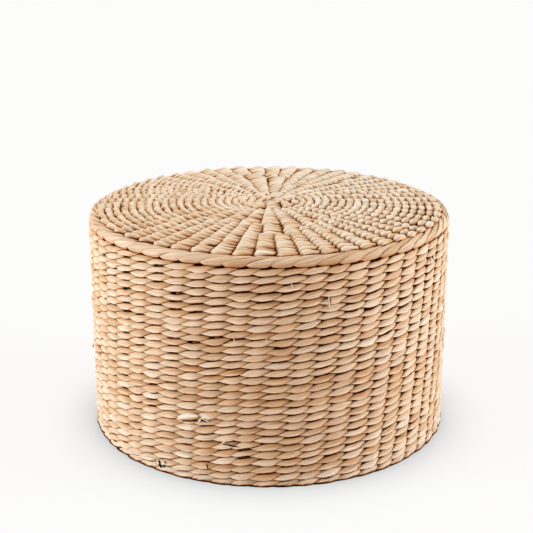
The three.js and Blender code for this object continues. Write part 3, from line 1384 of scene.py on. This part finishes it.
@dataclass
class Border:
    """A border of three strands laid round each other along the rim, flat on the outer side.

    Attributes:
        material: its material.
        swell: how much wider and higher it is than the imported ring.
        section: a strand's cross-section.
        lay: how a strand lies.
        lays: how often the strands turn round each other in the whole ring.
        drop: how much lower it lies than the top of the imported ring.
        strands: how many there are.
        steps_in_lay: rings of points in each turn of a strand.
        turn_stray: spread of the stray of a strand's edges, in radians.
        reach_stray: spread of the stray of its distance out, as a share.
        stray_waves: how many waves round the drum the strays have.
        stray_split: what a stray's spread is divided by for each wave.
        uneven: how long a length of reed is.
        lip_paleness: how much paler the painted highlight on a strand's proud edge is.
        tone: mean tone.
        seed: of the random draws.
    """

    material: bpy.types.Material
    swell: tuple[float, float] = (2.5 * MM, 2.6 * MM)
    section: StrandSection = StrandSection(
        thickness=2.8 * MM,
        across_shares=(-1.0, -0.80, -0.64, -0.15, 0.45, 0.84, 0.96, 1.15, -1.15),
        height_shares=(0.0, 0.30, 0.42, 0.56, 0.58, 0.52, 0.34, -0.5, -0.5),
        tuck_shares=(1.0, 0.85, 0.25, 0.0, 0.0, 0.0, 0.0, 1.0, 1.0),
        lip_shares=(0.0, 0.0, -0.2, 0.0, 0.1, 0.6, 1.0, 0.0, 0.0))
    lay: Lay = Lay()
    lays: int = 18
    drop: float = 1.8 * MM
    strands: int = 3
    steps_in_lay: int = 42
    turn_stray: float = 0.10
    reach_stray: float = 0.04
    stray_waves: tuple[int, ...] = (5, 11, 17, 29, 41)
    stray_split: float = 2.2
    uneven: Unevenness = Unevenness(shortest_run=1, longest_run=3)
    lip_paleness: float = 0.25
    tone: float = 0.5
    seed: int = 71

    def __post_init__(self) -> None:
        """Reads the border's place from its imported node."""
        low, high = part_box("rim_border")
        wide, tall = (high.z - low.z + more for more in self.swell)
        self.reaches = wide / 2 - self.section.top(), tall / 2 - self.section.top()
        self.radius = high.x - wide / 2
        self.height = high.z - self.drop - tall / 2

    def build(self) -> bpy.types.Object:
        """Lays the strands.

        Returns:
            The piece.
        """
        rng = np.random.default_rng(self.seed)
        buffer = MeshBuffer()
        tones = StrandTones(rng, self.uneven)
        for number in range(self.strands):
            self.add_strand(buffer, tones, number)
        return buffer.build("rim_rope", self.material, "rim_border", "reed_border")

    def add_strand(self, buffer: MeshBuffer, tones: StrandTones, start: int) -> None:
        """Lays one strand all the way round.

        Args:
            buffer: where its rings go.
            tones: the source of its tones and its unevenness.
            start: how many stake pitches after angle 0 it comes out.
        """
        section, lay, rng = self.section, self.lay, tones.rng
        rings = self.lays * self.steps_in_lay
        angle = FULL_TURN * np.arange(rings) / rings
        pitches = self.strands * np.arange(rings) / self.steps_in_lay - start
        even = pitches * FULL_TURN / self.strands
        upper, lower = (even + np.radians(edge.at(pitches))
                        + self.stray(rng, angle, self.turn_stray)
                        for edge in (lay.upper, lay.lower))
        turn, half = (upper + lower) / 2, np.maximum(upper - lower, 0) / 2
        reach = np.mean(self.reaches) * (1 + self.stray(rng, angle, self.reach_stray))

        across = np.array(section.across_shares)
        side = (half * reach)[:, None] * across
        fullness = np.clip(2 * half * reach / lay.thin_width, lay.thinnest, 1)
        thickness = (section.thickness * fullness)[:, None]
        height = thickness * np.array(section.height_shares) + lay.tilt * side
        point_turn = turn[:, None] + half[:, None] * across
        reach_share = reach[:, None] / np.mean(self.reaches)
        points = self.place(angle[:, None], reach_share, height, point_turn)

        # A spliced-in length starts where the strand is hidden
        laid = np.floor((pitches + lay.hidden) / self.strands).astype(int) % self.lays
        strand = tones.chain(self.lays, self.tone)[laid]
        # Painted shade where the strand lies deep or tucked, and on the border's underside
        depth = section.depths(np.clip(lay.depth.at(pitches), 0, 1),
                               np.clip(lay.tuck.at(pitches), 0, 1))
        underneath = (-np.sin(point_turn) - lay.dark_under) / lay.dark_fade
        depth = np.maximum(depth, np.clip(underneath, 0, 1))
        # Painted highlight on the proud upper edge
        tone = strand[:, 0:1] + self.lip_paleness * np.array(section.lip_shares)
        places = stacked((angle * self.radius)[:, None], across, strand[:, 2:3])
        ids = buffer.add_points(points, places, stacked(tone, strand[:, 1:2], depth))
        ids = np.append(ids, ids[0])
        for first in range(0, rings, self.steps_in_lay):
            buffer.add_strips(ids[None, first:first + self.steps_in_lay + 1], len(across))

    def place(self, angle: Array, reach_share: Array, height: Array, turn: Array) -> Array:
        """Points about the border's middle line.

        Args:
            angle: angles about the drum's axis.
            reach_share: distances from the middle line, as shares of the border's own reach.
            height: what is added to the distance.
            turn: angles about the middle line, from the outer side over the top.

        Returns:
            An array with x, y and z last.
        """
        wide, tall = self.reaches
        return about_axis(self.radius + (reach_share * wide + height) * np.cos(turn), angle,
                          self.height + (reach_share * tall + height) * np.sin(turn))

    def stray(self, rng: np.random.Generator, angle: Array, spread: float) -> Array:
        """A smooth random stray round the ring.

        Args:
            rng: the source of the draws.
            angle: angles about the drum's axis.
            spread: about how far it strays.

        Returns:
            The stray at each angle.
        """
        total = np.zeros_like(angle)
        for waves in self.stray_waves:
            size = rng.normal(0, spread / self.stray_split)
            total += size * np.sin(waves * angle + rng.uniform(0, FULL_TURN))
        return total


# Loose ends and stakes

@dataclass(frozen=True)
class Blade:
    """One loose end of reed that lies on the wall or stands off it.

    Attributes:
        angle: where it starts, in degrees about the drum's axis.
        height: where it starts, in millimetres over the floor.
        heading: its direction in degrees, from 0 along the row to the right to 90 straight up.
        length: its length in millimetres.
        width: its width in millimetres.
        tone: its tone, from 0, dark, to 1, pale.
        warmth: how stained it is.
        depth: how far the painted-shade ramp darkens it, from 0 to 1.
        lift: how far its end stands off the wall, in millimetres.
        bow: how far its heading turns over its length, in degrees.
    """

    angle: float
    height: float
    heading: float
    length: float
    width: float
    tone: float = 0.7
    warmth: float = 0.0
    depth: float = 0.0
    lift: float = 1.0
    bow: float = 0.0


@dataclass(frozen=True)
class LooseEnds:
    """Torn and frayed ends of reed on the wall, as on any hand-twined piece.

    Attributes:
        weft: the weft that they come loose from.
        material: its material.
        stand_off: how far they start from the stakes' middle line.
        steps: rings of points along a blade.
        around: place across a blade of the points of a ring, from -1 to 1.
        out: how far out of its middle line each of those points lies.
        narrowest: share of the width's curve that is left at its ends.
        fullness: how blunt it is.
        number_step: from one blade's number to the next, so that their noises differ.
        blades: the ends.
    """

    weft: Weft
    material: bpy.types.Material
    stand_off: float = 6.1 * MM
    steps: int = 9
    around: Shares = (-1.0, 0.0, 1.0, 0.0)
    out: Shares = (0.0, 0.5 * MM, 0.0, -0.9 * MM)
    narrowest: float = 0.02
    fullness: float = 0.6
    number_step: float = 5.3
    blades: tuple[Blade, ...] = (
        # A torn, bleached splinter low on the left, with its frayed fibres
        Blade(-27.8, 69.6, 20, 27, 9.0, tone=1.2, lift=1.0, bow=-6),
        Blade(-23.6, 79.0, 10, 8, 2.6, tone=0.1, warmth=1.0, lift=1.4),
        Blade(-23.4, 72.6, 16, 13, 5.4, tone=0.1, warmth=1.0, lift=0.5),
        Blade(-26.5, 67.2, 14, 21, 2.4, depth=1.0, lift=0.1),
        Blade(-20.5, 78.6, 8, 14, 2.8, tone=1.2, lift=1.0, bow=-34),
        Blade(-20.3, 77.4, -20, 8, 1.8, depth=1.0, lift=1.4),
        Blade(-20.3, 75.8, -18, 11, 2.0, tone=1.1, lift=1.2),
        Blade(-20.2, 72.9, -8, 9, 2.0, depth=1.0, lift=0.3),
        Blade(-19.9, 75.2, -124, 6, 2.2, tone=1.2, lift=1.8),
        # A broken strand near the floor, with blades darkened by the painted-shade ramp where it
        # opens
        Blade(-35.1, 12.8, -66, 9, 4.6, depth=1.0, lift=0.3),
        Blade(-36.4, 11.6, -56, 8, 1.6, tone=0.8, lift=0.8),
        Blade(-36.9, 11.2, -30, 3.5, 1.9, depth=1.0, lift=0.6),
        Blade(-33.2, 9.0, -12, 3.5, 1.8, depth=1.0, lift=0.6),
        Blade(-33.0, 13.6, -30, 3.5, 1.6, depth=0.9, lift=0.6),
        # A sliver across two rows and a stub that shows against the white
        Blade(17.0, 214.0, -90, 15, 2.0, tone=0.7, lift=0.6, bow=8),
        Blade(17.6, 213.0, -90, 9, 1.2, depth=0.55, lift=0.2),
        Blade(-84.0, 97.0, -88, 10, 4.0, tone=0.0, warmth=1.0, lift=2.6),
        # Wisps
        Blade(-10.1, 172.0, -80, 6, 1.0, tone=0.65, lift=1.0, bow=20),
        Blade(-0.6, 171.5, -95, 5, 1.0, tone=0.65, lift=1.0),
        Blade(6.1, 230.0, -60, 6, 1.1, tone=0.65, lift=1.0, bow=-40),
        Blade(3.4, 189.0, -20, 6, 1.0, tone=0.65, lift=1.0),
        Blade(-13.6, 48.2, -4, 19, 1.6, depth=1.0, lift=0.4, bow=-4),
        Blade(-13.9, 48.9, 30, 5, 1.4, tone=1.1, lift=1.0),
        Blade(-18.5, 22.0, -74, 6, 1.4, depth=0.9, lift=0.4),
        Blade(7.3, 40.5, 10, 6, 1.5, tone=1.0, lift=1.0),
        Blade(57.1, 231.0, -88, 11, 1.0, tone=0.65, lift=1.0, bow=-14),
        Blade(58.4, 229.0, -75, 8, 0.9, depth=0.7, lift=0.6, bow=30),
    )

    def build(self) -> bpy.types.Object:
        """Makes all the loose ends as one piece.

        Returns:
            The piece.
        """
        buffer = MeshBuffer()
        for number, blade in enumerate(self.blades):
            self.add(buffer, blade, number)
        return buffer.build("loose_ends", self.material, "side_weave", "reed_weave")

    def add(self, buffer: MeshBuffer, blade: Blade, number: int) -> None:
        """Adds one blade, which tapers to both ends.

        Args:
            buffer: where its rings go.
            blade: the blade.
            number: its number, which picks its streaks.
        """
        share = np.linspace(0, 1, self.steps)
        heading = np.radians(blade.heading + blade.bow * share)
        step = blade.length * MM / (self.steps - 1)
        along, upward = (np.append(0, np.cumsum(way(heading[:-1]) * step))
                         for way in (np.cos, np.sin))
        wall = self.weft.wall_high.x
        radius = wall - self.weft.cover + self.stand_off + blade.lift * MM * share ** 2
        angle = math.radians(blade.angle) + along / wall
        height = blade.height * MM + upward
        swelling = np.maximum(4 * share * (1 - share), self.narrowest) ** self.fullness
        around = np.array(self.around)
        side = (blade.width * MM / 2 * swelling)[:, None] * around
        point_angle = angle[:, None] - side * np.sin(heading)[:, None] / wall
        point_height = np.maximum(height[:, None] + side * np.cos(heading)[:, None], 0)
        points = about_axis(radius[:, None] + np.array(self.out), point_angle, point_height)
        places = stacked((share * blade.length * MM)[:, None], around, number * self.number_step)
        rings = buffer.add_points(points, places, (blade.tone, blade.warmth, blade.depth))
        buffer.add_strips(rings[None], len(around))


@dataclass
class Stakes:
    """The upright reeds that the weft is twined round.

    Attributes:
        layout: where they stand.
        weft: the weft round them.
        material: their material.
        width: a reed's width.
        thickness: its thickness.
        bend: radius of its bends at rim and foot.
        bend_turns: where the bends have rings of points, in degrees.
        inner_radius: where it ends, on the seat and on the base.
        taper_radius: inside this radius it narrows.
        narrowest: its least width, as a share of the full one.
        pair_fade: radius over which two reeds draw together to a pair.
        pair_closing: how close they come, as a share of the way.
        steps: rings of points on the seat, on the wall and on the base.
        tone: mean tone.
        tone_spread: its spread from reed to reed.
        warmth: how stained they are.
        least_depth: the least painted shade on them, where they aren't under the rim.
        number_step: from one reed's number to the next, so that their noises differ.
        seed: of the random draws.
    """

    layout: StakeLayout
    weft: Weft
    material: bpy.types.Material
    width: float = 6.5 * MM
    thickness: float = 3.6 * MM
    bend: float = 7 * MM
    bend_turns: tuple[int, ...] = (30, 60)
    inner_radius: float = 14 * MM
    taper_radius: float = 70 * MM
    narrowest: float = 0.35
    pair_fade: float = 24 * MM
    pair_closing: float = 0.8
    steps: int = 30
    tone: float = 0.5
    tone_spread: float = 0.15
    warmth: float = 0.2
    least_depth: float = 0.35
    number_step: float = 3.7
    seed: int = 5

    def route(self) -> tuple[Array, Array]:
        """The stakes' middle line from the seat's middle down to the base, with its facing.

        Returns:
            Radius and height of each point, and the unit vector out of the skin.
        """
        weft, bend = self.weft, self.bend
        wall = weft.wall_high.x - weft.cover
        foot = weft.base_low.z + weft.cover
        end = wall - bend
        top = weft.crown(end) - weft.cover
        across_seat = np.linspace(self.inner_radius, end, self.steps)
        across_base = np.linspace(end, self.inner_radius, self.steps)
        down_wall = np.linspace(top - bend, foot + bend, self.steps)
        turns = np.radians(self.bend_turns)
        sine, cosine = np.sin(turns), np.cos(turns)
        route = np.concatenate([stacked(*stretch) for stretch in (
            (across_seat, weft.crown(across_seat) - weft.cover, 0, 1),
            (end + bend * sine, top - bend * (1 - cosine), sine, cosine),
            (wall, down_wall, 1, 0),
            (wall - bend * (1 - cosine), foot + bend * (1 - sine), cosine, -sine),
            (across_base, foot, 0, -1),
        )])
        return route[:, :2], route[:, 2:]

    def angles(self, points: Array) -> Array:
        """Angle of every stake at every point of the route.

        Args:
            points: radius and height of the route's points.

        Returns:
            An array with the stakes last.
        """
        high, length = self.weft.wall_high.z, self.weft.wall_high.z - self.weft.wall_low.z
        rows = round(length / self.weft.row_pitch)
        by_row = np.array([self.layout.on_wall(row) for row in range(rows)])
        wall_row = np.clip((high - points[:, 1]) / (length / rows) - 0.5, 0, rows - 1)
        above = np.floor(wall_row).astype(int)
        below = np.minimum(above + 1, rows - 1)
        share = (wall_row - above)[:, None]
        angles = by_row[above] * (1 - share) + by_row[below] * share
        for index, (radius, _) in enumerate(points):
            if radius < self.layout.split_radii[1]:
                pairs = angles[index].reshape(-1, 2)
                middle = pairs.mean(axis=1, keepdims=True)
                inside = self.layout.splits + self.pair_fade / 2 - radius
                together = np.clip(inside / self.pair_fade, 0, self.pair_closing)
                angles[index] = (pairs + (middle - pairs) * together[:, None]).ravel()
        return angles

    def build(self) -> bpy.types.Object:
        """Makes the stakes as one piece.

        Returns:
            The piece.
        """
        rng = np.random.default_rng(self.seed)
        route, facing = self.route()
        angles = self.angles(route).T
        count = len(angles)
        section = StrandSection(self.thickness)
        across = np.array(section.across_shares)
        line = about_axis(route[:, 0], angles, route[:, 1])
        outward = about_axis(facing[:, 0], angles, facing[:, 1])
        sideways = stacked(-np.cos(angles), -np.sin(angles), 0.0)
        taper = np.clip(route[:, 0] / self.taper_radius, self.narrowest, 1)
        side = (self.width / 2 * taper)[:, None] * across
        height = np.array(section.height_shares) * section.thickness
        points = (line[:, :, None] + side[..., None] * sideways[:, :, None]
                  + height[:, None] * outward[:, :, None])
        points[..., 2] = np.maximum(points[..., 2], self.weft.base_low.z)

        along = np.linalg.norm(np.diff(route, axis=0, prepend=route[:1]), axis=1).cumsum()
        numbers = np.arange(count)[:, None, None] * self.number_step
        tone = rng.normal(self.tone, self.tone_spread, (count, 1, 1))
        # Painted shade on the stakes, growing to quite dark under the rim
        under_rim = (route[:, 1] - self.weft.wall_high.z) / self.bend + 1
        depth = np.clip(under_rim, self.least_depth, 1)[:, None]
        buffer = MeshBuffer()
        rings = buffer.add_points(points, stacked(along[:, None], across, numbers),
                                  stacked(tone, self.warmth, depth))
        buffer.add_strips(rings, section.points())
        return buffer.build("stake_reeds", self.material, "stakes", "reed_stakes")


@dataclass(frozen=True)
class InnerFrame:
    """The rod frame and the seat board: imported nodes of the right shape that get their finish."""

    rod: bpy.types.Material
    board: bpy.types.Material

    def dress(self) -> list[bpy.types.Object]:
        """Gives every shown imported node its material.

        Returns:
            The nodes.
        """
        shown = {name: node for name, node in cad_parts.items() if not node.hide_render}
        for name, node in shown.items():
            node.data.materials.clear()
            node.data.materials.append(self.board if name == "seat_board" else self.rod)
        return list(shown.values())


# Studio

@dataclass(frozen=True)
class Sun:
    """A soft distant light.

    Attributes:
        name: its name.
        strength: its strength.
        tint: its colour.
        azimuth: where it comes from, in degrees about the drum's axis.
        elevation: how high, in degrees.
        spread: how wide it looks, in degrees.
    """

    name: str
    strength: float
    tint: str
    azimuth: float
    elevation: float
    spread: float

    def add(self) -> None:
        """Adds the light to the scene."""
        data = bpy.data.lights.new(self.name, "SUN")
        data.energy = self.strength
        data.color = linear(self.tint)[:3]
        data.angle = math.radians(self.spread)
        turn, lift = math.radians(self.azimuth), math.radians(self.elevation)
        toward = Vector((math.sin(turn) * math.cos(lift), -math.cos(turn) * math.cos(lift),
                         math.sin(lift)))
        turn_towards(link_object(self.name, data), toward, "Z")


@dataclass(frozen=True)
class Studio:
    """Camera, pale floor and soft light.

    Attributes:
        camera_distance: from the camera to the drum's axis.
        camera_pivot_height: the height there that the camera is turned about.
        camera_elevation: how high it looks down from.
        camera_clip: the nearest and farthest that it sees.
        aim: the point in the middle of its view.
        lens: its focal length in millimetres.
        sensor: its sensor's width in millimetres.
        floor_half: half of the floor's side.
        white: colour of the floor and of the sky, as they look.
        floor_bounce: colour of the light that the floor returns.
        steady_share: how much of the floor's white takes no shadow.
        contact_reach: from how near the drum a painted contact shadow darkens that white.
        contact_falloff: how fast that fades with distance.
        contact_shade: how strong it is.
        contact_samples: how finely it is drawn.
        sky_strength: strength of the sky's light.
        sky_tint: its colour.
        suns: a low soft sun on either side and one from above.
    """

    camera_distance: float = 1436.4 * MM
    camera_pivot_height: float = 129 * MM
    camera_elevation: float = math.radians(19.5)
    camera_clip: tuple[float, float] = (0.01, 60.0)
    aim: tuple[float, float, float] = (-2.8 * MM, 0.0, 181.9 * MM)
    lens: float = 80.28
    sensor: float = 36.0
    floor_half: float = 14.0
    white: str = "fcfcfc"
    floor_bounce: str = "ecbe97"
    steady_share: float = 0.92
    contact_reach: float = 110 * MM
    contact_falloff: float = 2.8
    contact_shade: float = 2.6
    contact_samples: int = 16
    sky_strength: float = 0.34
    sky_tint: str = "fff6ec"
    suns: tuple[Sun, ...] = (
        Sun("left_light", 3.65, "ecf6ff", -79, 13, 36),
        Sun("right_light", 3.45, "ecf6ff", 87, 13, 36),
        Sun("top_light", 0.9, "ffe0bc", 170, 76, 60),
    )

    def add_camera(self) -> None:
        """Places the camera at the photograph's viewing angle."""
        data = bpy.data.cameras.new("camera")
        data.lens = self.lens
        data.sensor_width = self.sensor
        data.clip_start, data.clip_end = self.camera_clip
        camera = link_object("camera", data)
        lift = self.camera_elevation
        camera.location = (0.0, -self.camera_distance * math.cos(lift),
                           self.camera_pivot_height + self.camera_distance * math.sin(lift))
        turn_towards(camera, Vector(self.aim) - camera.location, "-Z")
        bpy.context.scene.camera = camera

    def add_floor(self) -> None:
        """Lays the floor, which is open from below."""
        mesh = bpy.data.meshes.new("floor")
        half = self.floor_half
        corners = [(-half, -half, 0), (half, -half, 0), (half, half, 0), (-half, half, 0)]
        mesh.from_pydata(corners, [], [(0, 1, 2, 3)])
        mesh.materials.append(self.floor_material())
        floor = link_object("floor", mesh)

    def floor_material(self) -> bpy.types.Material:
        """Matt board: steady white to the eye under faint shadows, warm in the light it returns.

        Returns:
            The material.
        """
        material = new_material("white studio board, matt")
        tree = material.node_tree
        matt, bounce = (add_node(tree, "BsdfDiffuse", {"Color": linear(tint)})
                        for tint in (self.white, self.floor_bounce))

        # Painted contact shadow: the steady white is darker close to the drum, where little of the
        # sky is open
        sky = add_node(tree, "AmbientOcclusion", {"Distance": self.contact_reach},
                       samples=self.contact_samples)
        hidden = add_node(tree, "Math", {0: 1.0, 1: sky.outputs["AO"]}, operation="SUBTRACT",
                          use_clamp=True)
        near = add_node(tree, "Math", {0: hidden, 1: self.contact_falloff}, operation="POWER")
        strength = add_node(tree, "Math", {0: near, 1: -self.contact_shade, 2: 1.0},
                            operation="MULTIPLY_ADD", use_clamp=True)
        steady = add_node(tree, "Emission", {"Color": linear(self.white), "Strength": strength})

        # What the eye meets, then what light meets, then nothing from below
        board = add_node(tree, "MixShader", {0: self.steady_share, 1: matt, 2: steady})
        clear = add_node(tree, "BsdfTransparent")
        below = add_node(tree, "NewGeometry").outputs["Backfacing"]
        board = add_node(tree, "MixShader", {0: seen_directly(tree), 1: bounce, 2: board})
        board = add_node(tree, "MixShader", {0: below, 1: board, 2: clear})
        add_node(tree, "OutputMaterial", {"Surface": board})
        return material

    def add_sky(self) -> None:
        """Sets a plain sky that lights softly and looks white."""
        world = bpy.data.worlds.new("studio")
        bpy.context.scene.world = world
        world.use_nodes = True
        tree = world.node_tree
        tree.nodes.clear()
        light, white = (
            add_node(tree, "Background", {"Color": linear(tint), "Strength": strength})
            for tint, strength in ((self.sky_tint, self.sky_strength), (self.white, 1.0)))
        both = add_node(tree, "MixShader", {0: seen_directly(tree), 1: light, 2: white})
        add_node(tree, "OutputWorld", {"Surface": both})

    def build(self) -> None:
        """Sets up the whole studio."""
        self.add_camera()
        self.add_floor()
        for sun in self.suns:
            sun.add()
        self.add_sky()
        bpy.context.scene.view_settings.view_transform = "Standard"


def main() -> None:
    """Builds the stool's looks and the studio, and reports each piece."""
    logging.basicConfig(level=logging.INFO, format="%(message)s")
    Studio().build()
    weft_reed = ReedFinish("dried reed, hand twined", WEFT_TONES).material()
    border_reed = ReedFinish("dried reed, laid as a border", BORDER_TONES,
                             crease_sway=0.7).material()
    stake_reed = ReedFinish("reed stalk, split", STAKE_TONES).material()
    layout = StakeLayout(drum_radius=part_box("side_weave")[1].x)
    weft = Weft(layout, weft_reed)
    pieces = [
        *weft.build(),
        Stakes(layout, weft, stake_reed).build(),
        Border(border_reed).build(),
        weft.build_foot(border_reed),
        LooseEnds(weft, weft_reed).build(),
        *InnerFrame(PaintedRodFinish().material(), PlywoodFinish().material()).dress(),
    ]
    for piece in pieces:
        LOG.info("%s: %d faces", piece.name, len(piece.data.polygons))


if __name__ == "__main__":
    main()
